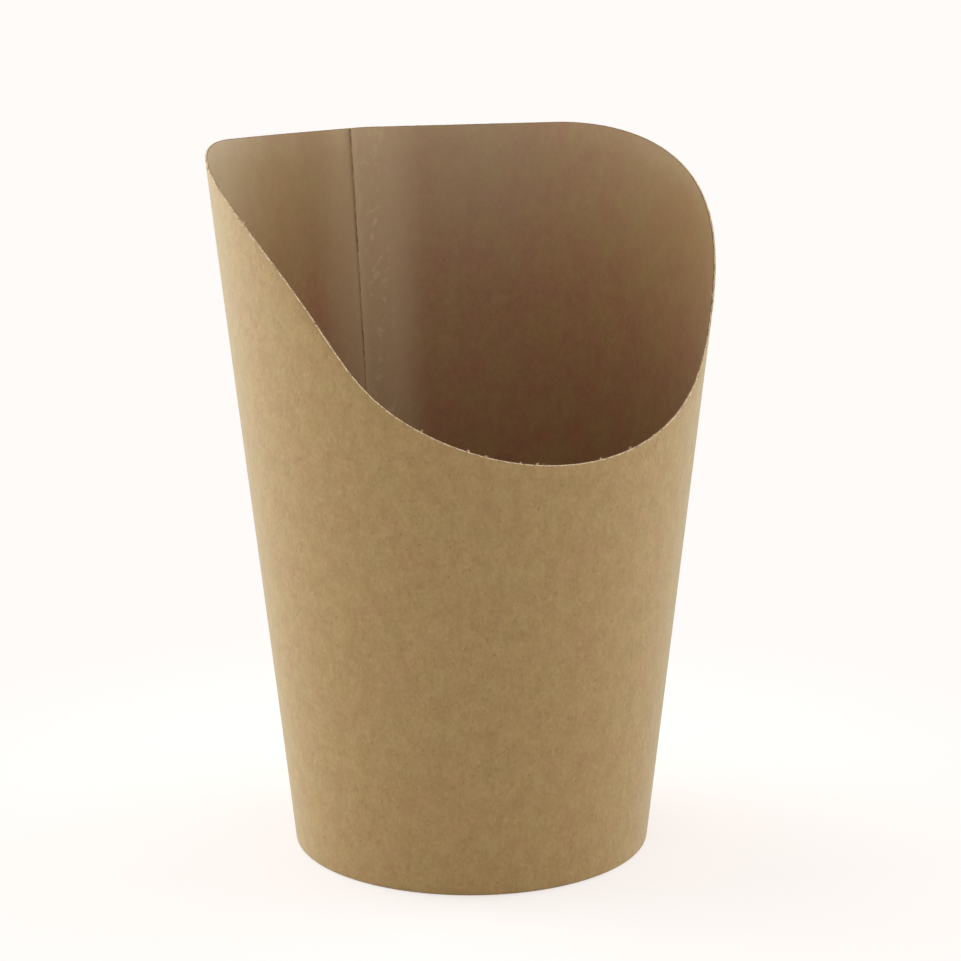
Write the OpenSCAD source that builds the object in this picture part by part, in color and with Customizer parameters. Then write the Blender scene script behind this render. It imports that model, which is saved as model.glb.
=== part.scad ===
// Scoop cup for takeaway food, of plain kraft board, in millimetres.
// It is made of two die-cut blanks. A fan-shaped blank is wrapped into the tapered wall, lapped and
// heat-sealed at the back, and its foot edge is folded in and up. A round blank is drawn into the base,
// whose skirt is held between the wall and that hem.
// The cup stands on z = 0 with the foot's centre at the origin. Its low front faces -Y, its seam +Y.

/* [Taper] */
// Outside radius of the wall at the surface that the cup stands on
foot_r = 30; // [24:0.5:40]
// Lean of the wall out from upright, in degrees
wall_lean = 6.11; // [4.5:0.01:8]

/* [Board] */
// Thickness of the wall's board
wall_board = 0.4; // [0.3:0.05:0.6]
// Thickness of the base's board
base_board = 0.35; // [0.25:0.05:0.6]
// Coating left on each side of the skirt where it is sealed in
seal_gap = 0.03; // [0.02:0.01:0.1]

/* [Mouth, measured on the flat blank] */
// Height of the low front edge over the foot
front_h = 72.8; // [60:0.1:80]
// Height of the back edge over the foot, at the seam
back_h = 117.4; // [108:0.1:140]
// Radius of the scoop's low front
scoop_r = 63; // [45:1:75]
// Turn of that arc on each side of the front, in degrees
scoop_turn = 26; // [16:1:32]
// Radius of the tighter bend that runs the scoop up into the flank
hip_r = 36; // [20:1:50]
// Slope of the straight flank, in degrees
flank_slope = 46; // [40:0.5:56]
// Radius of the shoulder between the flank and the top
shoulder_r = 55; // [30:1:60]
// Fall of the straight top from the shoulder to the seam, in degrees
top_fall = 17.8; // [14:0.1:20]

/* [Seam] */
// Overlap of the blank's two ends, as an angle round the cup
lap_turn = 8; // [5:0.5:14]
// Angle over which the outer layer steps down off the inner one
joggle_turn = 7; // [4:0.5:12]

/* [Foot] */
// Height of the base's underside over the surface that the cup stands on
recess = 7; // [5:0.5:12]
// Inside radius of the bend between the base and its skirt
base_bend = 0.6; // [0.4:0.1:1.2]
// Room between the top of the hem and that bend
hem_gap = 0.4; // [0.2:0.1:1]
// How far the rolled fold is pressed flat where it stands
foot_press = 0.06; // [0.03:0.01:0.1]

/* [Hidden] */
$fn = 180;

kraft_outside = [0.69, 0.58, 0.42];
kraft_inside = [0.53, 0.41, 0.29];

// Longest straight step along the mouth's cut edge, and round the base's bend
cut_step = 2.5;
bend_step = 0.15;
// How far a cutting tool passes through the board, each way
tool_reach = 3;
// How far a laid-on layer stands over the wall's uncut top
layer_over = tool_reach / 2;
// How far it is bedded into the wall, so that the two fuse
bedding = wall_board / 2;
// How far a fading layer ends below the surface that it fades into
graze = 0.02;
// Height over which the lap fades out, where the fold and the base's corner flatten it
lap_fade = 2.5;
// Angle between the columns that draw the lap, and the least that its first and last may be
column_turn = 1;
least_turn = 0.3;

// The wall's straight section leans out from the foot's edge
sin_lean = sin(wall_lean);
cos_lean = cos(wall_lean);

// The fold at the foot turns the board round the skirt in its slot
slot = base_board + 2 * seal_gap;
fold_r = wall_board + slot / 2;
fold_up = (fold_r * (1 - sin_lean) - foot_press) / cos_lean;
hem_up = (recess - base_bend - hem_gap - 2 * fold_r * sin_lean) / cos_lean;

// The base's bend sits inside the skirt, a bend radius below the base's underside
skirt_in = -wall_board - seal_gap - base_board;
bend_in = skirt_in - base_bend;
bend_up = (recess - base_bend + bend_in * sin_lean) / cos_lean;

// On the flat blank the foot is an arc round the cone's apex, blank_r below the front of the foot
blank_r = foot_r / sin_lean;

function toward(angle) = [cos(angle), sin(angle)];

function arc_points(centre, r, from, to, step = cut_step) =
    let (steps = ceil(abs(to - from) * PI / 180 * r / step))
    [for (i = [0:steps]) centre + r * toward(from + (to - from) * i / steps)];

function line_points(from, to) =
    let (steps = ceil(norm(to - from) / cut_step))
    [for (i = [0:steps]) from + (to - from) * i / steps];

// The right half of the mouth's outline on the blank, from the front to the seam
scoop_centre = [0, front_h + scoop_r];
hip_centre = scoop_centre + (scoop_r - hip_r) * toward(scoop_turn - 90);
hip_end = hip_centre + hip_r * toward(flank_slope - 90);
seam_end = (blank_r + back_h) * toward(90 - 180 * sin_lean) - [0, blank_r];

// The flank and the top would meet in a corner, which the shoulder rounds as far as they leave room
shoulder_turn = flank_slope + top_fall;
to_corner = cross(seam_end - hip_end, toward(-top_fall)) / cross(toward(flank_slope), toward(-top_fall));
corner = hip_end + to_corner * toward(flank_slope);
room = min(to_corner, norm(seam_end - corner));
shoulder_fit_r = min(shoulder_r, room / tan(shoulder_turn / 2));
trim = shoulder_fit_r * tan(shoulder_turn / 2);
shoulder_start = corner - trim * toward(flank_slope);
shoulder_end = corner + trim * toward(-top_fall);
shoulder_centre = shoulder_start + shoulder_fit_r * toward(flank_slope - 90);

half_mouth = concat(
    arc_points(scoop_centre, scoop_r, -90, scoop_turn - 90),
    arc_points(hip_centre, hip_r, scoop_turn - 90, flank_slope - 90),
    line_points(hip_end, shoulder_start),
    arc_points(shoulder_centre, shoulder_fit_r, flank_slope + 90, 90 - top_fall),
    line_points(shoulder_end, seam_end)
);

// A blank's point as the angle round the cup and the height along the wall once it is wrapped
function wrapped(p) =
    let (from_apex = p + [0, blank_r])
    [atan2(from_apex.x, from_apex.y) / sin_lean, norm(from_apex) - blank_r];

// A point of the section at a height along the wall and a distance out from its outside
function in_section(up, out) =
    [foot_r + up * sin_lean + out * cos_lean, up * cos_lean - out * sin_lean];

// The same point, turned to an angle round the cup
function on_wall(turn, up, out) =
    let (p = in_section(up, out))
    [p.x * sin(turn), -p.x * cos(turn), p.y];

// Neighbours closer than this are one point of the outline
same_point = 0.01;
half_wrapped = [
    for (i = [0:len(half_mouth) - 1])
        if (i == 0 || norm(half_mouth[i] - half_mouth[i - 1]) > same_point) wrapped(half_mouth[i])
];
last = len(half_wrapped) - 1;
mouth = concat(
    half_wrapped,
    [for (i = [last - 1:-1:1]) [-half_wrapped[i][0], half_wrapped[i][1]]]
);
crown = max([for (p = mouth) p[1]]) + 1;

// The lap: the inner layer ends at seam_edge, and the outer layer comes back to lap_edge
seam_edge = 180 + lap_turn / 2;
lap_edge = 180 - lap_turn / 2;

// How far the layer at an angle stands off the mandrel: a board's thickness, then an easy step down
function lap_off(turn) =
    let (t = max(0, min(1, (turn - seam_edge) / joggle_turn)))
    (wall_board + graze) * (1 + cos(180 * t)) / 2 - graze;

// Columns of the lap. The mouth has a corner at 180 degrees, so the columns stand half a step beside it
function turns(from, to) =
    let (first = 180 + column_turn * (ceil((from + least_turn - 180) / column_turn - 0.5) + 0.5))
    concat([from], [for (turn = [first:column_turn:to - least_turn]) turn], [to]);

// Faces of a sweep whose sections each have the same number of points
function sweep_sides(sections, points, closed) = [
    for (i = [0:sections - (closed ? 1 : 2)], s = [0:points - 1])
        let (j = (i + 1) % sections, t = (s + 1) % points)
        each [
            [i * points + s, i * points + t, j * points + t],
            [i * points + s, j * points + t, j * points + s]
        ]
];
function sweep_ends(sections, points) = [
    [for (s = [points - 1:-1:0]) s],
    [for (s = [0:points - 1]) (sections - 1) * points + s]
];

// A layer between an inner and an outer face, which fades out over its lowest part
module swept_layer(turn_list, inner, face, low) {
    points = [
        for (turn = turn_list)
            let (outer = face + lap_off(turn))
            each [
                on_wall(turn, low, inner),
                on_wall(turn, low, face - graze),
                on_wall(turn, low + lap_fade, outer),
                on_wall(turn, crown + layer_over, outer),
                on_wall(turn, crown + layer_over, inner)
            ]
    ];
    sections = len(turn_list);
    polyhedron(points, concat(sweep_sides(sections, 5, false), sweep_ends(sections, 5)), convexity = 4);
}

// All that lies above the mouth's edge, cut square through the board
module mouth_cutter() {
    points = [
        for (p = mouth)
            each [
                on_wall(p[0], p[1], -wall_board - tool_reach),
                on_wall(p[0], p[1], wall_board + tool_reach),
                on_wall(p[0], crown + tool_reach, wall_board + tool_reach),
                on_wall(p[0], crown + tool_reach, -wall_board - tool_reach)
            ]
    ];
    polyhedron(points, sweep_sides(len(mouth), 4, true), convexity = 6);
}

// Draws in the wall's own directions: x out from its outside face, y up along it
module along_wall() {
    translate([foot_r, 0])
        rotate(-wall_lean)
            children();
}

module ring_2d(outer_r, inner_r) {
    difference() {
        circle(outer_r);
        circle(inner_r);
    }
}

// The wall's section: the board comes down, turns in under the slot and goes up again as the hem
module wall_section() {
    difference() {
        along_wall() {
            translate([-wall_board, fold_up])
                square([wall_board, crown - fold_up]);
            translate([-2 * fold_r, fold_up])
                square([wall_board, hem_up - fold_up]);
            translate([-fold_r, fold_up])
                intersection() {
                    ring_2d(fold_r, fold_r - wall_board);
                    translate([-fold_r, -fold_r])
                        square([2 * fold_r, fold_r]);
                }
        }
        // The press that leaves the fold flat on z = 0
        translate([foot_r - 3 * fold_r, -fold_r])
            square([4 * fold_r, fold_r]);
    }
}

// The base's section: a flat floor, a bend and a skirt that follows the wall down into the slot
module base_section() {
    bend_centre = in_section(bend_up, bend_in);
    polygon(concat(
        [[0, recess], [0, recess + base_board]],
        arc_points(bend_centre, base_bend + base_board, 90, -wall_lean, bend_step),
        [in_section(fold_up, skirt_in + base_board), in_section(fold_up, skirt_in)],
        arc_points(bend_centre, base_bend, -wall_lean, 90, bend_step)
    ));
}

module sidewall() {
    base_top = (recess + base_board) / cos_lean;
    color(kraft_outside)
        difference() {
            union() {
                rotate_extrude()
                    wall_section();
                // The outer layer of the lap, out to where it has come back to the wall
                swept_layer(turns(lap_edge, seam_edge + joggle_turn), -bedding, 0, fold_up);
            }
            // The inner layer's raw edge and the hollow beside it, under the step of the outer layer
            swept_layer(turns(seam_edge, seam_edge + joggle_turn), -wall_board - tool_reach, -wall_board, base_top);
            mouth_cutter();
        }
}

module base_disc() {
    color(kraft_inside)
        rotate_extrude()
            base_section();
}

sidewall();
base_disc();
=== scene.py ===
# %% [markdown]
# A scoop cup of kraft board, for food that is eaten from the hand. Its mouth is high at the back and
# scooped low at the front. The real one is made of two die-cut blanks: a fan that is wrapped into the
# wall, and a disc that is drawn into the base. Each is one sheet of board, 0.4 mm thick or less.
# A sheet could be made from a plain cone with a Solidify modifier. Here the sheet is built point by
# point from the flat blank instead, because the lap at the back, the raw cut edge and the fold under
# the foot then fall out of the same few sizes, and each side of the board gets its own finish.
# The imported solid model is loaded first. It is the frame that every visible piece has to fit.

# %% Load the frame
import math
import bmesh
import bpy
import numpy as np
from mathutils import Matrix, Vector


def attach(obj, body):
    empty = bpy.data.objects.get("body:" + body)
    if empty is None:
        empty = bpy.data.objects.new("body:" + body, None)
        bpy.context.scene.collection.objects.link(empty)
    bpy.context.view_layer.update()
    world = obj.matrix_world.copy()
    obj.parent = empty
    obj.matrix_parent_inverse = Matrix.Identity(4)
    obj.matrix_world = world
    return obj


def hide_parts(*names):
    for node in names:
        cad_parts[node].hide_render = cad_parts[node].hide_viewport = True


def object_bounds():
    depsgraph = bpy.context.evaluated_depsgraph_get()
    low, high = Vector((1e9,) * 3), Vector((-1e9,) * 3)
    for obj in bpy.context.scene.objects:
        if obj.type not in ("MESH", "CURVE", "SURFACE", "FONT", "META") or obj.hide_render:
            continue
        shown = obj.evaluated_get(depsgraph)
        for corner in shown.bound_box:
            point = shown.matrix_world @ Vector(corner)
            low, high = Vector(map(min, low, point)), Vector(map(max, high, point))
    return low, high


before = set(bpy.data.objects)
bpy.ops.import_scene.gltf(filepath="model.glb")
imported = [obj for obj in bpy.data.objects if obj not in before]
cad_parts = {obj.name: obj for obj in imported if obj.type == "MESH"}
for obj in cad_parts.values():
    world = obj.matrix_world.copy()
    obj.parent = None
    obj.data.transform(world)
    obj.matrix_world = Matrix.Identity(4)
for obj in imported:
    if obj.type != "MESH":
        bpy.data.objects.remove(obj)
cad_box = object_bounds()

MM = 0.001
print("solid model, mm:", [[round(x / MM, 2) for x in corner] for corner in cad_box])

# %% [markdown]
# The camera comes first, so that every later step can be looked at from the photograph's side. Its
# place and lens are worked out from the picture: the foot's ellipse gives the height that we look down
# from, and the taper's two straight sides give the distance. The cup's low front points right of us.

# %% Camera
IMAGE_SIDE = 961
FOCAL_LENGTH_PX = 2800
SENSOR_MM = 36
CAMERA_TURN = math.radians(25.53)
CAMERA_DISTANCE = 454.8 * MM
CAMERA_HEIGHT = 169 * MM
CAMERA_HEADING = math.radians(25.738)
CAMERA_PITCH = math.radians(13.253)
CAMERA_ROLL = math.radians(-0.12)

camera_data = bpy.data.cameras.new("camera")
camera_data.sensor_width = SENSOR_MM
camera_data.lens = SENSOR_MM * FOCAL_LENGTH_PX / IMAGE_SIDE
camera_data.clip_start = 0.01
camera_data.clip_end = 20
camera = bpy.data.objects.new("camera", camera_data)
bpy.context.scene.collection.objects.link(camera)
place = Vector((-math.sin(CAMERA_TURN), -math.cos(CAMERA_TURN), 0)) * CAMERA_DISTANCE
camera.matrix_world = (
    Matrix.Translation(place + Vector((0, 0, CAMERA_HEIGHT)))
    @ Matrix.Rotation(-CAMERA_HEADING, 4, "Z")
    @ Matrix.Rotation(math.pi / 2 - CAMERA_PITCH, 4, "X")
    @ Matrix.Rotation(CAMERA_ROLL, 4, "Z")
)
bpy.context.scene.camera = camera
print("lens, mm:", round(camera_data.lens, 1))

# %% [markdown]
# The fan-shaped blank is drawn flat, in millimetres, as the die maker draws it. Its foot is an arc
# round the cone's apex. Its upper edge is the mouth: a wide arc for the low front, a tighter bend at
# the hip, a straight flank, a round shoulder and a straight top that runs to the seam.

# %% Sizes of the blanks
FOOT_R = 30.0
LEAN = math.radians(6.11)
WALL_BOARD = 0.4
BASE_BOARD = 0.35
SEAL_GAP = 0.03
FRONT_H = 72.8
BACK_H = 117.4
SCOOP_R = 63.0
SCOOP_TURN = 26
HIP_R = 36.0
FLANK_SLOPE = 46
SHOULDER_R = 55.0
TOP_FALL = 17.8
LAP_TURN = 8
JOGGLE_TURN = 7
RECESS = 7.0
BASE_BEND = 0.6
HEM_GAP = 0.4
FOOT_PRESS = 0.06
LAP_FADE = 2.5

SIN_LEAN = math.sin(LEAN)
COS_LEAN = math.cos(LEAN)
BLANK_R = FOOT_R / SIN_LEAN
FOLD_R = WALL_BOARD + (BASE_BOARD + 2 * SEAL_GAP) / 2
FOLD_UP = (FOLD_R * (1 - SIN_LEAN) - FOOT_PRESS) / COS_LEAN
HEM_UP = (RECESS - BASE_BEND - HEM_GAP - 2 * FOLD_R * SIN_LEAN) / COS_LEAN
print("foot to apex on the blank, mm:", round(BLANK_R, 1))


# %% Draw the mouth's edge on the blank
def toward(degrees):
    return np.array([math.cos(math.radians(degrees)), math.sin(math.radians(degrees))])


def arc(centre, radius, start, end):
    return np.array([centre + radius * toward(d) for d in np.linspace(start, end, 60)])


def line(start, end):
    return start + np.linspace(0, 1, 60)[:, None] * (end - start)


def cross(a, b):
    return a[0] * b[1] - a[1] * b[0]


scoop_centre = np.array([0, FRONT_H + SCOOP_R])
hip_centre = scoop_centre + (SCOOP_R - HIP_R) * toward(SCOOP_TURN - 90)
hip_end = hip_centre + HIP_R * toward(FLANK_SLOPE - 90)
seam_end = (BLANK_R + BACK_H) * toward(90 - 180 * SIN_LEAN) - [0, BLANK_R]
along = toward(FLANK_SLOPE)
fall = toward(-TOP_FALL)
corner = hip_end + along * cross(seam_end - hip_end, fall) / cross(along, fall)
trim = SHOULDER_R * math.tan(math.radians(FLANK_SLOPE + TOP_FALL) / 2)
trim = min(trim, np.linalg.norm(seam_end - corner), np.linalg.norm(corner - hip_end))
shoulder_r = trim / math.tan(math.radians(FLANK_SLOPE + TOP_FALL) / 2)
shoulder_centre = corner - trim * along + shoulder_r * toward(FLANK_SLOPE - 90)
half_mouth = np.concatenate([
    arc(scoop_centre, SCOOP_R, -90, SCOOP_TURN - 90),
    arc(hip_centre, HIP_R, SCOOP_TURN - 90, FLANK_SLOPE - 90),
    line(hip_end, corner - trim * along),
    arc(shoulder_centre, shoulder_r, FLANK_SLOPE + 90, 90 - TOP_FALL),
    line(corner + trim * fall, seam_end),
])
mouth_turn = np.degrees(np.arctan2(half_mouth[:, 0], half_mouth[:, 1] + BLANK_R)) / SIN_LEAN
mouth_up = np.hypot(half_mouth[:, 0], half_mouth[:, 1] + BLANK_R) - BLANK_R


def mouth_height(turn):
    """Height of the cut edge along the wall. Both ends of the blank run past the seam's middle."""
    turn = np.abs(turn)
    return np.interp(np.where(turn > 180, 360 - turn, turn), mouth_turn, mouth_up)


print("mouth, mm up the wall:", [round(float(mouth_height(t)), 1) for t in (0, 45, 90, 135, 180)])

# %% [markdown]
# Wrapping is one formula. A place on the sheet is a turn round the cup, a height along the wall and a
# distance out from the outside face. The blank's own millimetres are kept as UV coordinates, so that
# fibres and streaks run across the board as they did when it was flat, and not round the cone.


# %% Wrap a place on the blank round the cup
def ease(x):
    """Runs from 0 to 1 with no corner at either end."""
    return (1 - np.cos(np.pi * np.clip(x, 0, 1))) / 2


SPRING = 0.42
SPRING_TURN = -118
SPRING_REACH = 34


def spring(turn, up):
    """The board is cut free at the mouth, and springs out a little on the cup's left shoulder."""
    beside = ease(1 - np.abs(turn - SPRING_TURN) / SPRING_REACH)
    return SPRING * beside * ease(up / BACK_H)


def on_wall(turn, up, out):
    """Metres in the cup's frame, from degrees and millimetres on the wall."""
    out = out + spring(turn, up)
    angle = np.radians(turn)
    r = FOOT_R + up * SIN_LEAN + out * COS_LEAN
    z = np.maximum(up * COS_LEAN - out * SIN_LEAN, 0)
    return np.stack(np.broadcast_arrays(r * np.sin(angle), -r * np.cos(angle), z), -1) * MM


def on_blank(turn, up):
    angle = np.radians(turn) * SIN_LEAN
    return np.stack([(BLANK_R + up) * np.sin(angle), (BLANK_R + up) * np.cos(angle) - BLANK_R], -1)


print("middle of the low front, m:", on_wall(0, FRONT_H, 0).round(4))

# %% [markdown]
# The board's path runs from the hem's raw end, down inside the foot, round the fold and up the wall.
# At each station of the path we keep the place of the outside face and the direction into the board.
# Every column of the sheet uses the same path, and only stretches its last stretch to the mouth.

# %% The board's path, from the hem to the mouth
HEM_STEPS = 8
FOLD_STEPS = 12
LOW_STEPS = 8
HIGH_STEPS = 26
STATIONS = HEM_STEPS + FOLD_STEPS + LOW_STEPS + HIGH_STEPS
EDGE_ROUND = 0.07

hem_up = np.linspace(HEM_UP, FOLD_UP, HEM_STEPS, endpoint=False)
fold_turn = np.linspace(math.pi, 2 * math.pi, FOLD_STEPS, endpoint=False)
low_share = np.linspace(0, 1, LOW_STEPS, endpoint=False)
high_share = np.linspace(0, 1, HIGH_STEPS)


def path(turn):
    """Heights, outs, the way into the board and the run from the fold's end, for all stations."""
    low_top = FOLD_UP + LAP_FADE
    top = mouth_height(turn)[:, None] - EDGE_ROUND
    wide = np.ones((len(turn), 1))
    up = np.hstack([
        wide * hem_up,
        wide * (FOLD_UP + FOLD_R * np.sin(fold_turn)),
        wide * (FOLD_UP + low_share * LAP_FADE),
        low_top + high_share * (top - low_top),
    ])
    out = np.concatenate([
        np.full(HEM_STEPS, -2 * FOLD_R),
        FOLD_R * (np.cos(fold_turn) - 1),
        np.zeros(LOW_STEPS + HIGH_STEPS),
    ])
    into_up = np.concatenate([np.zeros(HEM_STEPS), -np.sin(fold_turn), np.zeros(LOW_STEPS + HIGH_STEPS)])
    into_out = np.concatenate([
        np.ones(HEM_STEPS), -np.cos(fold_turn), -np.ones(LOW_STEPS + HIGH_STEPS)])
    fold_run = FOLD_UP - FOLD_R * (2 * math.pi - fold_turn)
    hem_run = FOLD_UP - FOLD_R * math.pi - (hem_up - FOLD_UP)
    run = np.hstack([wide * hem_run, wide * fold_run, up[:, HEM_STEPS + FOLD_STEPS:]])
    return up, out, into_up, into_out, run


print("stations from the hem to the mouth:", STATIONS)

# %% [markdown]
# At the back the blank's two ends lap. The end that comes round the left lies outside: it steps out by
# a board's thickness and comes back to the cone over a few degrees, which makers call a joggle. In the
# fold the press squeezes both layers into one thickness, because the slot there has no room for two.

# %% How deep each face of the board lies, in the lap and beside it
SEAL_FILM = 0.01
LAYER_END = 1


def depths(turn, up, station):
    """Depth of the outside and the inside face under the plain wall's outside, in millimetres."""
    turn = turn[:, None]
    lifted = 1 - ease((turn + 180 - LAP_TURN / 2) / JOGGLE_TURN)
    over = 1 - ease((turn + 180 - LAP_TURN / 2) / LAYER_END)
    under = ease((turn - 180 + LAP_TURN / 2) / LAYER_END + 1)
    free = np.where(station < HEM_STEPS + FOLD_STEPS, 0, ease((up - FOLD_UP) / LAP_FADE))
    half = WALL_BOARD / 2
    outside = -WALL_BOARD * lifted * free + half * under * (1 - free)
    inside = WALL_BOARD - WALL_BOARD * lifted * free - half * over * (1 - free) - SEAL_FILM * over
    return outside, inside


for turn in (-180, 0, 180):
    faces_in = depths(np.array([turn]), np.full((1, STATIONS), BACK_H), np.arange(STATIONS))
    print("at turn", turn, "the faces lie, mm deep:", [round(float(f[0, -1]), 2) for f in faces_in])

# %% [markdown]
# A knurled wheel presses the hem shut against the base's skirt, and leaves shallow upright ribs on the
# hem's inner side. A bump in the finish would show them, but an exported mesh would not have them. So
# the ribs move the points themselves, and fade out before the raw end and before the fold.

# %% Press marks of the wheel that closes the hem
KNURLS = 88
KNURL_DEPTH = 0.05


def knurl(turn, station):
    """The closing wheel leaves shallow ribs on the hem's inner side."""
    share = ease((station - 0.5) / 2) * ease((HEM_STEPS - station) / 2)
    return KNURL_DEPTH * share * (1 + np.cos(np.radians(turn[:, None] * KNURLS))) / 2


print("ribs on the hem, mm apart:", round(2 * math.pi * FOOT_R / KNURLS, 2))

# %% [markdown]
# A column is the closed outline of the board at one turn: up the outside face, over the cut edge, down
# the inside face and back under the hem's end. Columns stand closer at the lap, where the sheet bends
# most. Joining neighbours gives one closed skin with no stray face, and a cap closes each raw end.

# %% A skin from columns of points
OUTSIDE, INSIDE, EDGE, CAP = range(4)


def skin(name, points, uvs, finishes, closed, caps=()):
    """A mesh from points [column, place in the outline], with a finish for each place."""
    columns, places = points.shape[:2]
    index = np.arange(columns * places).reshape(columns, places)
    here = np.arange(columns if closed else columns - 1)
    there = (here + 1) % columns
    place = np.arange(len(finishes))
    after = (place + 1) % places
    faces = np.stack([
        index[here][:, place],
        index[there][:, place],
        index[there][:, after],
        index[here][:, after],
    ], -1).reshape(-1, 4)
    finish = np.tile(finishes, len(here))
    if len(caps):
        faces = np.concatenate([faces, index[0][caps], index[-1][caps][:, ::-1]])
        finish = np.concatenate([finish, np.full(2 * len(caps), CAP)])
    mesh = bpy.data.meshes.new(name)
    mesh.from_pydata(points.reshape(-1, 3).tolist(), [], faces.tolist())
    mesh.polygons.foreach_set("material_index", np.minimum(finish, EDGE).astype(np.int32))
    places_uv = uvs[finish[:, None], faces]
    mesh.uv_layers.new(name="blank_mm").data.foreach_set("uv", places_uv.astype(np.float32).ravel())
    return mesh


print("finishes by number:", OUTSIDE, "outside", INSIDE, "inside", EDGE, "cut edge", CAP, "slit end")

# %% [markdown]
# The die rounds both corners of the cut a little and leaves the board between them rough, and that is
# the thin pale line along the mouth. A Bevel modifier would round every edge of the sheet alike. Here
# the rounding is a part of each column, and each point over the cut is moved by a little chance.

# %% The cut edge's outline
EDGE_CORNERS = np.radians([30, 60, 90])
CUT_ROUGHNESS = 0.012
rng = np.random.default_rng(7)


def cut_edge(outside, inside):
    """Depths and heights over the cut edge, whose corners the die leaves slightly rounded."""
    rise = EDGE_ROUND * np.sin(EDGE_CORNERS)
    inset = EDGE_ROUND * (1 - np.cos(EDGE_CORNERS))
    flat = outside + (inside - outside) * [1 / 3, 2 / 3]
    depth = np.hstack([outside + inset, flat, inside - inset[::-1]])
    height = np.concatenate([rise, [EDGE_ROUND, EDGE_ROUND], rise[::-1]])
    return depth, height + rng.normal(0, CUT_ROUGHNESS, depth.shape)


print("places over the cut edge:", 2 * len(EDGE_CORNERS) + 2)

# %% [markdown]
# Now all points of the wall are worked out at once, as arrays with a row for each column. Both ends run
# past the middle of the seam, by half the lap. Columns stand a quarter of a degree apart in the lap, and
# elsewhere about half a millimetre apart at the mouth, so that the outline looks round from close by.

# %% Points of the wall
END_TURN = 180 + LAP_TURN / 2
JOGGLE_END = -168
LAP_START = 174
FINE_STEP = 0.25
PLAIN_STEP = 0.75
turns = np.concatenate([
    np.arange(-END_TURN, JOGGLE_END, FINE_STEP),
    np.arange(JOGGLE_END, LAP_START, PLAIN_STEP),
    np.arange(LAP_START, END_TURN + FINE_STEP / 2, FINE_STEP),
])
column = turns[:, None]
up, out, into_up, into_out, run = path(turns)
outside, inside = depths(turns, up, np.arange(STATIONS))
outside = outside + knurl(turns, np.arange(STATIONS))
outer_points = on_wall(column, up + into_up * outside, out + into_out * outside)
inner_points = on_wall(column, up + into_up * inside, out + into_out * inside)
edge_depth, edge_height = cut_edge(outside[:, -1:], inside[:, -1:])
edge_up = up[:, -1:] + edge_height
edge_points = on_wall(column, edge_up, -edge_depth)
wall_points = np.concatenate([outer_points, edge_points, inner_points[:, ::-1]], 1)
print("columns:", len(turns), "places in each:", wall_points.shape[1])

# %% [markdown]
# Each place has a UV for each finish. Both faces use the blank's millimetres, far apart so that their
# fibres differ. A cut edge is unrolled into a thin strip, along the edge and through the board. The
# straight ends' strip is squeezed to half the board's depth and stretched along, so it leaves out the
# dark film side.

# %% UV places and finishes of the wall
INSIDE_SHIFT = 400.0
EDGE_SHIFT = 800.0
CAP_STRETCH = 4
CAP_DEPTHS = 2
face_sheet = on_blank(column, run)
sheet = np.concatenate([face_sheet, on_blank(column, edge_up), face_sheet[:, ::-1]], 1)
mouth_line = edge_points.mean(1) / MM
along_mouth = np.concatenate([[0], np.cumsum(np.linalg.norm(np.diff(mouth_line, axis=0), axis=1))])
through = np.hstack([outside, edge_depth, inside[:, ::-1]]) - outside[:, -1:]
along_end = np.hstack([run, edge_up, run[:, ::-1]])
wall_uvs = np.stack([
    sheet,
    sheet + [INSIDE_SHIFT, 0],
    np.stack(np.broadcast_arrays(along_mouth[:, None] + EDGE_SHIFT, through), -1),
    np.stack([along_end / CAP_STRETCH + EDGE_SHIFT, through / CAP_DEPTHS], -1),
]).reshape(4, -1, 2)
wall_finishes = np.concatenate([
    np.full(STATIONS - 1, OUTSIDE),
    np.full(edge_points.shape[1] + 1, EDGE),
    np.full(STATIONS - 1, INSIDE),
    [EDGE],
])
pair = np.arange(wall_points.shape[1] // 2)
facing = wall_points.shape[1] - 1 - pair
wall_caps = np.stack([pair[:-1], pair[1:], facing[1:], facing[:-1]], 1)
wall_mesh = skin("sidewall_board", wall_points, wall_uvs, wall_finishes, False, wall_caps)
print("wall faces:", len(wall_mesh.polygons))

# %% [markdown]
# The lap is sealed by heat and pressure through a bar, which leaves the inner end of the sheet dimpled.
# Its paler grey there is partly the seal's mark and partly the film's sheen, painted in. Right at the
# end a paler line is painted on both sides: a painted highlight on the raised end, and painted light
# over the shade of the hollow beside it. The sheet beside the lap is painted a little paler too, painted
# light over the joggle's shade. Near the top, most at the corner and at the middle of the back, a paler
# grey
# is painted in: painted sheen, where the film mirrors the white room, and painted light, where the top
# gets more light. Higher up at both sides an olive tint is painted, standing in for the greenish sheen
# of those sides seen at a glance. A float attribute on the mesh says how far a point belongs to each of
# these, so that the finish can follow the blank and not a place in space.

# %% Mark the sealed band and where sheen and light are painted
SEAL_FLAT = 8
SEAL_REACH = 20
BESIDE_REACH = 15
# Painted light: the sheet beside the lap is drawn paler over the joggle's shade.
BESIDE_PAINTED_LIGHT = 0.85
SEAL_LOW = 1.4
# Painted highlight and painted light: a paler line right at the inner layer's end, on both sides.
END_REACH = 2.2
END_PAINTED_LIGHT = 0.35
DIMPLED_AT = 5
DIMPLED_REACH = 6
# Painted sheen and painted light: a paler grey near the inside's top.
TOP_SHEEN_FROM = 82
TOP_SHEEN_OVER = 38
TOP_SHEEN_TURNS = (-150, -128, 95, 125, 150, 180)
TOP_SHEEN_SHARES = (0.1, 1.7, 0.0, 0.6, 1.3, 1.0)
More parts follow.
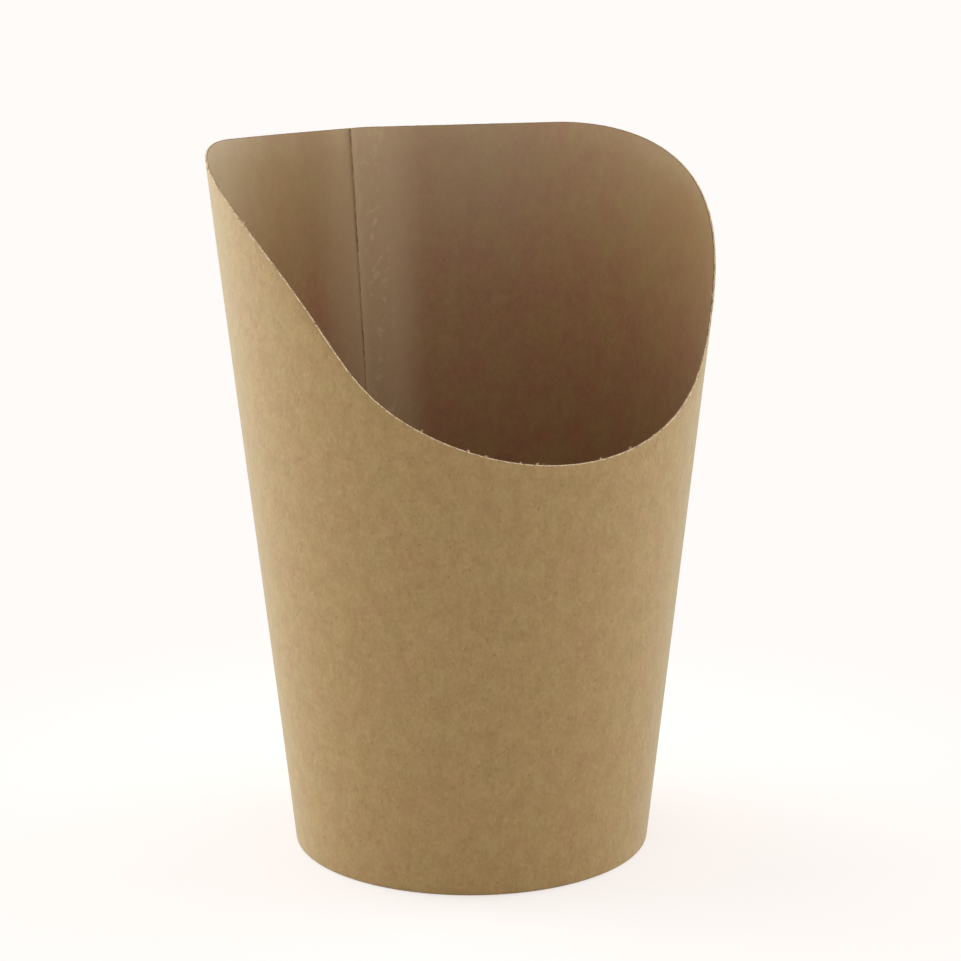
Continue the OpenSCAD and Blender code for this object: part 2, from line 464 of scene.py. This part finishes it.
# Painted sheen: an olive tint high on both sides of the inside, where they are seen at a glance.
SIDE_SHEEN_FROM = 84
SIDE_SHEEN_OVER = 20
SIDE_SHEEN_TURNS = (-180, -165, -120, 0, 75, 110, 125)
SIDE_SHEEN_SHARES = (0.3, 1.0, 1.0, 0.0, 1.0, 1.0, 0.0)


def sealed(turn):
    """Runs from 1 beside the inner layer's end, the line that is seen inside the cup, to 0."""
    from_end = np.where(turn > 0, END_TURN - turn, turn + 360 - END_TURN)
    on_layer = ease((SEAL_REACH - from_end) / (SEAL_REACH - SEAL_FLAT))
    beside = BESIDE_PAINTED_LIGHT * ease(1 - from_end / BESIDE_REACH)
    # The lap's paleness is partly the seal's mark and partly painted sheen; beside it and at its end it
    # is painted light.
    return np.where(turn > 0, on_layer, beside) + END_PAINTED_LIGHT * ease(1 - from_end / END_REACH)


def mark(name, values):
    """Keeps a number with each point of the wall, under a name that a finish can read."""
    attribute = wall_mesh.attributes.new(name, "FLOAT", "POINT")
    everywhere = np.broadcast_to(values, wall_z.shape).astype(np.float32)
    attribute.data.foreach_set("value", everywhere.ravel())


wall_z = wall_points[..., 2] / MM
# Where the paler grey of the painted top sheen goes.
painted_top_sheen = ease((wall_z - TOP_SHEEN_FROM) / TOP_SHEEN_OVER)
mark("painted_top_sheen", painted_top_sheen * np.interp(turns, TOP_SHEEN_TURNS, TOP_SHEEN_SHARES)[:, None])
# The seal's paleness with its painted sheen and light, stronger low in the cup than where the top sheen
# is painted.
mark("sealed", sealed(column) * (SEAL_LOW + (1 - SEAL_LOW) * painted_top_sheen))
dimpled_turn = END_TURN - DIMPLED_AT
mark("dimpled", ease(1 - np.abs(column - dimpled_turn) / DIMPLED_REACH))
# Where the olive tint of the painted side sheen goes.
painted_side_sheen = ease((wall_z - SIDE_SHEEN_FROM) / SIDE_SHEEN_OVER)
mark("painted_side_sheen", painted_side_sheen * np.interp(turns, SIDE_SHEEN_TURNS, SIDE_SHEEN_SHARES)[:, None])
print("columns that are more than half sealed:", int((sealed(turns) > 0.5).sum()))

# %% [markdown]
# The base is a round blank whose rim is drawn down into a skirt. Board can't shrink, so the skirt and
# the bend take it up in fine flutes. A lathed outline would be perfectly smooth, so each column of the
# outline is turned round the axis by itself and the flutes are added as a small in-and-out wave.

# %% Build the base's skin
FLUTES = (96, 57)
FLUTE_DEPTH = 0.02
FLOOR_STEPS = 16
BEND_STEPS = 9
SKIRT_STEPS = 5
skirt_in = -WALL_BOARD - SEAL_GAP - BASE_BOARD
bend_in = skirt_in - BASE_BEND
bend_up = (RECESS - BASE_BEND + bend_in * SIN_LEAN) / COS_LEAN


def section(up, out):
    return np.array([FOOT_R + up * SIN_LEAN + out * COS_LEAN, up * COS_LEAN - out * SIN_LEAN])


bend_centre = section(bend_up, bend_in)


def base_face(z, radius, foot):
    """One face of the base in the section, from the axis out and down the skirt."""
    across = np.linspace(0, bend_centre[0], FLOOR_STEPS, endpoint=False)
    floor = np.stack([across, np.full(FLOOR_STEPS, z)], 1)
    bend_turns = np.linspace(90, -math.degrees(LEAN), BEND_STEPS)
    bend = np.array([bend_centre + radius * toward(d) for d in bend_turns])
    skirt = bend[-1] + np.linspace(0, 1, SKIRT_STEPS)[1:, None] * (foot - bend[-1])
    return np.concatenate([floor, bend, skirt])


under = base_face(RECESS, BASE_BEND, section(FOLD_UP, skirt_in))
upper = base_face(RECESS + BASE_BOARD, BASE_BEND + BASE_BOARD, section(FOLD_UP, skirt_in + BASE_BOARD))
base_outline = np.concatenate([under, upper[::-1]])
base_run = np.concatenate([[0], np.cumsum(np.linalg.norm(np.diff(upper, axis=0), axis=1))])
base_run = np.concatenate([base_run, base_run[::-1]])
angle = np.radians(np.arange(0, 360, 1.0))[:, None]
wave = sum(np.sin(count * angle + count) for count in FLUTES) / len(FLUTES)
on_bend = ease((base_outline[:, 0] - bend_centre[0]) / BASE_BEND)
reach = (base_outline[:, 0] + FLUTE_DEPTH * on_bend * wave) * MM
height = np.broadcast_to(base_outline[:, 1] * MM, reach.shape)
base_points = np.stack([reach * np.sin(angle), -reach * np.cos(angle), height], -1)
disc = np.stack([base_run * np.sin(angle), base_run * np.cos(angle)], -1) - [0, INSIDE_SHIFT]
base_uvs = np.stack([disc, disc + [INSIDE_SHIFT, 0], disc]).reshape(3, -1, 2)
base_finishes = np.concatenate([
    np.full(len(under) - 1, OUTSIDE),
    [EDGE],
    np.full(len(upper) - 1, INSIDE),
])
base_mesh = skin("base_board", base_points, base_uvs, base_finishes, True)
welding = bmesh.new()
welding.from_mesh(base_mesh)
bmesh.ops.remove_doubles(welding, verts=welding.verts, dist=0.1 * SEAL_FILM * MM)
welding.to_mesh(base_mesh)
welding.free()
print("base faces:", len(base_mesh.polygons))

# %% [markdown]
# A die shears the board rather than slicing it, so a few fibres stand out of the cut edge, mostly one
# by one and here and there in a small tuft. Hair curves would do, but they are hard to keep in other
# programs. Each fibre is a thin bent cone of three sides instead, all of them in one mesh.

# %% Fibres on the cut edge
FIBRES = 420
TUFT_TURNS = (-84, -37, -26, -22, -14, -10, 7, 16, 24, 61, 128)
TUFT_FIBRES = 14
TUFT_REACH = 0.15
FIBRE_LENGTH = (0.08, 0.28)
TUFT_LENGTH = (0.2, 0.5)
FIBRE_R = 0.025
TUFT_FIBRE_R = 0.035
FIBRE_RINGS = 4
FIBRE_SIDES = 3
FIBRE_POINTS = FIBRE_RINGS * FIBRE_SIDES
TIP_SHARE = 0.15
LOOSE_SPREAD = 0.55
TUFT_SPREAD = 0.2


def fibre(turn, length, radius, lean, spread):
    """Rings of points round one fibre that grows out of the cut edge and bends over."""
    depth = rng.uniform(0.15, 0.85) * WALL_BOARD
    lean_side, lean_out = lean + rng.normal(0, spread, 2)
    curl_side, curl_out = rng.normal(0, spread, 2)
    radius = radius * rng.uniform(0.6, 1.3)
    share = np.linspace(0, 1, FIBRE_RINGS)[:, None]
    round_turn = np.linspace(0, 2 * math.pi, FIBRE_SIDES, endpoint=False)
    thin = radius * (1 - (1 - TIP_SHARE) * share)
    side = length * (lean_side * share + curl_side * share ** 2) + thin * np.cos(round_turn)
    outward = length * (lean_out * share + curl_out * share ** 2) + thin * np.sin(round_turn)
    base_up = float(mouth_height(turn)) - EDGE_ROUND
    around = turn + np.degrees(side / FOOT_R) * FOOT_R / (FOOT_R + base_up * SIN_LEAN)
    return on_wall(around, base_up + (length + EDGE_ROUND) * share, outward - depth)


def fibre_faces(first):
    """Faces of one fibre, whose first point has that number."""
    ring = first + np.arange(FIBRE_POINTS).reshape(FIBRE_RINGS, FIBRE_SIDES)
    after = np.roll(ring, -1, axis=1)
    walls = np.stack([ring[:-1], after[:-1], after[1:], ring[1:]], -1).reshape(-1, 4)
    return walls.tolist() + [ring[0][::-1].tolist(), ring[-1].tolist()]


fibre_points = [
    fibre(turn, rng.uniform(*FIBRE_LENGTH), FIBRE_R, np.zeros(2), LOOSE_SPREAD)
    for turn in rng.uniform(-179, 179, FIBRES)
]
for tuft in TUFT_TURNS:
    lean = rng.normal(0, 0.5, 2)
    fibre_points += [
        fibre(turn, rng.uniform(*TUFT_LENGTH), TUFT_FIBRE_R, lean, TUFT_SPREAD)
        for turn in rng.normal(tuft, TUFT_REACH, TUFT_FIBRES)
    ]
faces = [face for i in range(len(fibre_points)) for face in fibre_faces(i * FIBRE_POINTS)]
fibre_places = np.concatenate(fibre_points).reshape(-1, 3)
# No fibre stands over the top of the solid model
fibre_places[:, 2] = np.minimum(fibre_places[:, 2], cad_box[1].z)
fibre_mesh = bpy.data.meshes.new("edge_fibres")
fibre_mesh.from_pydata(fibre_places.tolist(), [], faces)
print("fibres:", len(fibre_points))

# %% [markdown]
# The finishes come next. Kraft board is unbleached softwood pulp: its brown is even from afar, and
# close to it is a felt of fibres 1 to 3 mm long, with darker bark specks and paler shives. Each finish
# is made of procedural noise in the blank's millimetres, so no picture is needed.

# %% Helpers for finishes
def linear(hex_code):
    """A colour written as sRGB hex, in the linear values that the renderer works with."""
    values = [int(hex_code[i:i + 2], 16) / 255 for i in (1, 3, 5)]
    return tuple(v / 12.92 if v <= 0.04045 else ((v + 0.055) / 1.055) ** 2.4 for v in values) + (1,)


def new_finish(name):
    finish = bpy.data.materials.new(name)
    finish.use_nodes = True
    finish.node_tree.nodes.clear()
    return finish


def add(tree, kind, inputs=None, **settings):
    """Adds a node. A socket among the inputs is linked, and any other value is set."""
    node = tree.nodes.new("ShaderNode" + kind)
    for name, value in settings.items():
        setattr(node, name, value)
    for name, value in (inputs or {}).items():
        if isinstance(value, bpy.types.NodeSocket):
            tree.links.new(value, node.inputs[name])
        else:
            node.inputs[name].default_value = value
    return node


def finished(finish, surface):
    """Links what the surface does to light to the output, and says how many nodes that took."""
    add(finish.node_tree, "OutputMaterial", {"Surface": surface})
    print(finish.name, "nodes:", len(finish.node_tree.nodes))
    return finish


print("kraft in linear light:", [round(c, 3) for c in linear("#b0946a")[:3]])

# %% [markdown]
# Kraft is a felt of curled fibres. The places where a noise is just one half lie on long winding curves,
# and a second noise cuts those into short hairs. Real fibres are 0.03 mm wide, too fine for the picture,
# so the hairs are drawn about 0.1 mm wide here. Under them lie soft clouds, where the pulp was thicker.
# Most of a noise's values lie near one half, so each layer stretches only that middle to its own range.


# %% Patterns that the two faces of the board share
NOISE_LOW = 0.3
NOISE_HIGH = 0.7


def stretched(tree, place, width, length, lay, detail, seed):
    """Noise whose grains are width by length, in millimetres, and lie at an angle on the blank."""
    squeezed = add(tree, "Mapping", {
        "Vector": place,
        "Location": (seed, seed * 0.37, 0),
        "Rotation": (0, 0, math.radians(lay)),
        "Scale": (1 / width, 1 / length, 1),
    })
    noise = add(tree, "TexNoise", {
        "Vector": squeezed.outputs["Vector"],
        "Scale": 1.0,
        "Detail": detail,
        "Roughness": 0.6,
    }, noise_dimensions="2D")
    return noise.outputs[0]


def between(tree, value, low, high, to_low, to_high):
    ranged = add(tree, "MapRange", {
        "Value": value,
        "From Min": low,
        "From Max": high,
        "To Min": to_low,
        "To Max": to_high,
    }, interpolation_type="SMOOTHSTEP")
    return ranged.outputs["Result"]


def swing(tree, noise, low, high):
    """Stretches the middle of a noise to a range."""
    return between(tree, noise, NOISE_LOW, NOISE_HIGH, low, high)


def total(tree, values):
    result = values[0]
    for value in values[1:]:
        result = add(tree, "Math", {0: result, 1: value}, operation="ADD").outputs["Value"]
    return result


def times(tree, value, amount):
    return add(tree, "Math", {0: value, 1: amount}, operation="MULTIPLY").outputs["Value"]


def hairs(tree, place, curl, lay, thin, amount, seed):
    """Short curled lines, whose bends are about as wide as curl, in millimetres."""
    winding = stretched(tree, place, width=curl, length=1.6 * curl, lay=lay, detail=1, seed=seed)
    off = add(tree, "Math", {0: total(tree, [winding, -0.5])}, operation="ABSOLUTE").outputs["Value"]
    cuts = stretched(tree, place, width=0.9, length=1.2, lay=0, detail=0, seed=seed + 5)
    parts = between(tree, cuts, 0.56, 0.64, 0, amount)
    return times(tree, between(tree, off, 0, thin, 1, 0), parts)


def drifting(tree, place, colour, amount):
    """Lets the hue drift from place to place, because the pulp is a mix of batches."""
    batches = stretched(tree, place, width=6, length=7, lay=0, detail=3, seed=131)
    drift = swing(tree, batches, 0.5 - amount, 0.5 + amount)
    return add(tree, "HueSaturation", {"Hue": drift, "Color": colour}).outputs["Color"]


def felt(tree, place):
    """How much lighter than plain board a place is: clouds, mottle, grain, hairs and flecks."""
    clouds = stretched(tree, place, width=2.6, length=3.4, lay=0, detail=5, seed=11)
    mottle = stretched(tree, place, width=0.7, length=0.9, lay=0, detail=1, seed=173)
    grain = stretched(tree, place, width=0.3, length=1.6, lay=3, detail=2, seed=23)
    bark = stretched(tree, place, width=0.6, length=1.0, lay=15, detail=1, seed=71)
    shives = stretched(tree, place, width=0.5, length=0.7, lay=-20, detail=1, seed=83)
    return total(tree, [
        swing(tree, clouds, -0.042, 0.042),
        swing(tree, mottle, -0.028, 0.028),
        swing(tree, grain, -0.012, 0.012),
        hairs(tree, place, curl=1.3, lay=20, thin=0.05, amount=-0.085, seed=41),
        hairs(tree, place, curl=1.1, lay=-30, thin=0.05, amount=0.075, seed=53),
        hairs(tree, place, curl=0.7, lay=0, thin=0.06, amount=-0.05, seed=67),
        between(tree, bark, 0.17, 0.25, -0.24, 0),
        between(tree, shives, 0.74, 0.82, 0, 0.18),
    ])


def toned(tree, tone, dark, middle, light):
    """A colour that runs from dark to light as the tone runs from -0.5 to 0.5."""
    ramp = add(tree, "ValToRGB", {"Fac": between(tree, tone, -0.5, 0.5, 0, 1)})
    stops = ramp.color_ramp.elements
    stops[0].color = linear(dark)
    stops[1].color = linear(light)
    halfway = stops.new(0.5)
    halfway.color = linear(middle)
    return ramp.outputs["Color"]


def marked(tree, name):
    return add(tree, "Attribute", attribute_name=name).outputs["Fac"]


def blended(tree, share, first, second):
    mix = add(tree, "MixRGB", {"Fac": share, "Color1": first, "Color2": second})
    return mix.outputs["Color"]


# %% [markdown]
# Outside, the board is bare machine-finished kraft. Calendering leaves it matt with a faint sheen where
# it is seen at a glance, which Sheen gives. Cellulose has an IOR near 1.5, and the roughness is high.

# %% Kraft outside
def kraft_outside_finish():
    finish = new_finish("kraft_outside")
    tree = finish.node_tree
    place = add(tree, "UVMap", uv_map="blank_mm").outputs["UV"]
    tone = felt(tree, place)
    brown = toned(tree, tone, dark="#89693e", middle="#ae8f5c", light="#c9ac7d")
    relief = add(tree, "Bump", {"Strength": 0.5, "Distance": 0.08 * MM, "Height": tone})
    shader = add(tree, "BsdfPrincipled", {
        "Base Color": drifting(tree, place, brown, 0.004),
        "Roughness": between(tree, tone, -0.4, 0.4, 0.66, 0.56),
        "Normal": relief.outputs["Normal"],
        "IOR": 1.5,
        "Sheen Weight": 0.34,
        "Sheen Roughness": 0.4,
        "Sheen Tint": linear("#e9fff1"),
    })
    return finished(finish, shader.outputs["BSDF"])


kraft_outside = kraft_outside_finish()

# %% [markdown]
# Inside, a film of polyethylene is melted onto the same board to keep grease out. It wets the fibres,
# so the brown is deeper and redder and the felt shows less. The rough board under the film keeps its
# gloss low. The heat bar has left pale dimples in the lap. The lap's pale band is partly painted sheen
# and light. Towards the top a paler grey is painted in, painted sheen and light, and high on both sides
# an olive tint stands in for their sheen.

# %% Coated kraft inside
def kraft_inside_finish():
    finish = new_finish("kraft_inside")
    tree = finish.node_tree
    place = add(tree, "UVMap", uv_map="blank_mm").outputs["UV"]
    melt = stretched(tree, place, width=1.3, length=1.6, lay=0, detail=2, seed=151)
    tone = total(tree, [times(tree, felt(tree, place), 0.6), swing(tree, melt, -0.034, 0.034)])
    brown = toned(tree, tone, dark="#7e5c3e", middle="#9f7954", light="#b6916c")
    brown = drifting(tree, place, brown, 0.011)
    # Painted sheen: an olive tint on the inside's sides, for the greenish sheen they show at a glance.
    painted_side_sheen = blended(tree, times(tree, marked(tree, "painted_side_sheen"), 0.4), brown, linear("#96814c"))
    # Painted sheen and light: the top of the inside drawn a paler grey.
    with_top_sheen = blended(tree, times(tree, marked(tree, "painted_top_sheen"), 0.34), painted_side_sheen, linear("#bdab8b"))
    bumps = stretched(tree, place, width=1.3, length=1.7, lay=20, detail=2, seed=97)
    clusters = stretched(tree, place, width=3, length=7, lay=0, detail=1, seed=109)
    where = times(tree, marked(tree, "dimpled"), between(tree, clusters, 0.42, 0.58, 0.1, 1))
    pressed = times(tree, where, between(tree, bumps, 0.5, 0.76, 0, 1))
    # Paler where the lap is sealed, partly painted sheen and light, and where the dimples are.
    paler = total(tree, [times(tree, marked(tree, "sealed"), 0.45), times(tree, pressed, 0.6)])
    height = total(tree, [tone, times(tree, pressed, 0.6)])
    relief = add(tree, "Bump", {"Strength": 0.5, "Distance": 0.06 * MM, "Height": height})
    shader = add(tree, "BsdfPrincipled", {
        "Base Color": blended(tree, paler, with_top_sheen, linear("#c5ad8a")),
        "Roughness": 0.5,
        "Normal": relief.outputs["Normal"],
        "Specular IOR Level": 0.3,
        "IOR": 1.5,
        "Sheen Weight": 0.14,
        "Sheen Roughness": 0.5,
        "Sheen Tint": linear("#f6ffe6"),
    })
    return finished(finish, shader.outputs["BSDF"])


kraft_inside = kraft_inside_finish()

# %% [markdown]
# The cut edge shows the board's core: sheared fibre with no finish on it, paler and rougher than either
# face, in plies. The strip's UV runs along the edge and through the board, so a ply is a line in it. The
# last ply, under the film, is drawn dark and nicked.

# %% Raw cut edge
def raw_edge_finish():
    finish = new_finish("raw_board_edge")
    tree = finish.node_tree
    place = add(tree, "UVMap", uv_map="blank_mm").outputs["UV"]
    plies = stretched(tree, place, width=1.6, length=0.1, lay=0, detail=2, seed=5)
    nicks = stretched(tree, place, width=0.35, length=0.2, lay=0, detail=2, seed=17)
    depth = add(tree, "SeparateXYZ", {"Vector": place}).outputs["Y"]
    nicked_depth = total(tree, [depth, times(tree, nicks, 0.4)])
    tone = total(tree, [
        between(tree, plies, 0.35, 0.65, -0.22, 0.22),
        swing(tree, nicks, -0.24, 0.2),
        between(tree, nicked_depth, 0.47, 0.53, 0, -1.0),
    ])
    relief = add(tree, "Bump", {"Strength": 0.7, "Distance": 0.03 * MM, "Height": tone})
    shader = add(tree, "BsdfPrincipled", {
        "Base Color": toned(tree, tone, dark="#6b4b2d", middle="#d8bf92", light="#efdfba"),
        "Roughness": 0.85,
        "Normal": relief.outputs["Normal"],
        "IOR": 1.5,
        "Sheen Weight": 0.2,
    })
    return finished(finish, shader.outputs["BSDF"])


raw_edge = raw_edge_finish()

# %% [markdown]
# A fibre that stands out of the cut edge is bare pulp. It is pale straw and lets light through, so it
# looks brighter than the board: its colour is partly pale straw and partly painted light for what shines
# through. It is too thin to show a pattern of its own, so one noise with grains of 2 mm only gives
# neighbouring fibres different shades.

# %% Loose fibres
SHADE_SIZE = 2


def loose_fibre_finish():
    finish = new_finish("loose_fibre")
    tree = finish.node_tree
    space = add(tree, "NewGeometry").outputs["Position"]
    shades = add(tree, "TexNoise", {"Vector": space, "Scale": 1 / (SHADE_SIZE * MM)}).outputs[0]
    shader = add(tree, "BsdfPrincipled", {
        "Base Color": blended(tree, shades, linear("#d6ba8c"), linear("#f0e0bc")),
        "Roughness": 0.7,
        "IOR": 1.5,
        "Sheen Weight": 0.2,
    })
    return finished(finish, shader.outputs["BSDF"])


loose_fibre = loose_fibre_finish()

# %% [markdown]
# Now the meshes become pieces. A piece rides on the one body, root, and the two board skins stand for
# the sidewall and base_disc solids, which they hide. The solids get the kraft finishes too, in case they
# are shown.

# %% Put the pieces on the frame
SHARP_EDGE = math.radians(50)


def piece(name, mesh, finishes, replaced=None):
    for finish in finishes:
        mesh.materials.append(finish)
    mesh.validate()
    mesh.shade_smooth()
    mesh.set_sharp_from_angle(angle=SHARP_EDGE)
    made = bpy.data.objects.new(name, mesh)
    bpy.context.scene.collection.objects.link(made)
    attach(made, "root")
    if replaced:
        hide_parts(replaced)
    return made


board = [kraft_outside, kraft_inside, raw_edge]
wall = piece("wall_blank", wall_mesh, board, "sidewall")
base = piece("base_blank", base_mesh, board, "base_disc")
fibres = piece("edge_fibres", fibre_mesh, [loose_fibre])
for node, finish in (("sidewall", kraft_outside), ("base_disc", kraft_inside)):
    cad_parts[node].data.materials.clear()
    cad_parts[node].data.materials.append(finish)
print("pieces:", [o.name for o in (wall, base, fibres)])

# %% [markdown]
# The photograph is a product shot on white, cut out so clean that even the shadow is gone. Here the
# floor is a pale sheet that keeps a soft shadow and fades into the world behind it. Floor and world are
# white only to the rays that see them, so that the background adds no light to the cup.

# %% Floor and white background
FLOOR_SIDE = 1.6
FLOOR_SOLID = 0.045
FLOOR_GONE = 0.14
FLOOR_GLOW = 0.65
FLOOR_DROP = 0.05 * MM
FLOOR_GRAIN = 1 / 300
FLOOR_RELIEF = 0.2 * MM
WORLD_FILL = 0.65
WORLD_WHITE = 1.0


def seen_directly(tree):
    """Is 1 for rays that show a surface, by itself or in gloss or glass, and 0 for rays that light."""
    rays = add(tree, "LightPath").outputs
    seen = rays["Is Glossy Ray"]
    for kind in ("Is Transmission Ray", "Is Camera Ray"):
        seen = add(tree, "Math", {0: seen, 1: rays[kind]}, operation="MAXIMUM").outputs["Value"]
    return seen


def floor_finish():
    finish = new_finish("pale_floor")
    tree = finish.node_tree
    seen = seen_directly(tree)
    grain = add(tree, "TexNoise", {"Scale": 1 / FLOOR_GRAIN}).outputs[0]
    relief = add(tree, "Bump", {"Strength": 0.02, "Distance": FLOOR_RELIEF, "Height": grain})
    shader = add(tree, "BsdfDiffuse", {
        "Color": blended(tree, seen, linear("#c8c4be"), linear("#a5a3a1")),
        "Normal": relief.outputs["Normal"],
    })
    spot = add(tree, "NewGeometry").outputs["Position"]
    distance = add(tree, "VectorMath", {0: spot}, operation="LENGTH").outputs["Value"]
    faded = between(tree, distance, FLOOR_SOLID, FLOOR_GONE, 0, 1)
    glow = add(tree, "Emission", {"Color": linear("#fffaf8"), "Strength": times(tree, seen, FLOOR_GLOW)})
    lit = add(tree, "AddShader", {0: shader.outputs["BSDF"], 1: glow.outputs["Emission"]})
    clear = add(tree, "BsdfTransparent")
    surface = add(tree, "MixShader", {"Fac": faded, 1: lit.outputs["Shader"], 2: clear.outputs["BSDF"]})
    return finished(finish, surface.outputs["Shader"])


half = FLOOR_SIDE / 2
floor_mesh = bpy.data.meshes.new("floor")
floor_corners = [(-half, -half, 0), (half, -half, 0), (half, half, 0), (-half, half, 0)]
floor_mesh.from_pydata(floor_corners, [], [(0, 1, 2, 3)])
floor_mesh.materials.append(floor_finish())
floor = bpy.data.objects.new("floor", floor_mesh)
bpy.context.scene.collection.objects.link(floor)
floor.location.z = -FLOOR_DROP

world = bpy.data.worlds.new("studio")
bpy.context.scene.world = world
world.use_nodes = True
sky = world.node_tree
sky.nodes.clear()
strength = between(sky, seen_directly(sky), 0, 1, WORLD_FILL, WORLD_WHITE)
white = add(sky, "Background", {"Color": linear("#fffbf8"), "Strength": strength})
add(sky, "OutputWorld", {"Surface": white.outputs["Background"]})
print("world fill:", WORLD_FILL)

# %% [markdown]
# The cup is brightest along its two sides and darkest in the middle, inside and out. That is the mark of
# big soft boxes left and right, a little behind the cup, each with a weaker one further back. The world
# adds the even light of a white room. The lamps' turns count from the camera's side, as the picture has
# them.

# %% Lamps
LAMP_AIM = Vector((0, 0, 60 * MM))
BOX_DISTANCE = 0.9
BOX_SIDE = 0.8


def soft_box(name, turn, lift, watts):
    """A square lamp at a turn from the camera's direction and a lift over the horizon, in degrees."""
    turn = math.radians(turn) - CAMERA_TURN
    lift = math.radians(lift)
    away = Vector((math.sin(turn) * math.cos(lift), -math.cos(turn) * math.cos(lift), math.sin(lift)))
    data = bpy.data.lights.new(name, "AREA")
    data.shape = "SQUARE"
    data.size = BOX_SIDE
    data.energy = watts
    lamp = bpy.data.objects.new(name, data)
    bpy.context.scene.collection.objects.link(lamp)
    lamp.location = LAMP_AIM + away * BOX_DISTANCE
    lamp.rotation_euler = (-away).to_track_quat("-Z", "Y").to_euler()
    print(name, "at, m:", [round(v, 2) for v in lamp.location])


soft_box("left_box", turn=-100, lift=22, watts=4.6)
soft_box("left_back_box", turn=-125, lift=15, watts=3.8)
soft_box("right_box", turn=100, lift=22, watts=4.2)
soft_box("right_back_box", turn=125, lift=15, watts=1.4)
bpy.context.scene.view_settings.view_transform = "Standard"
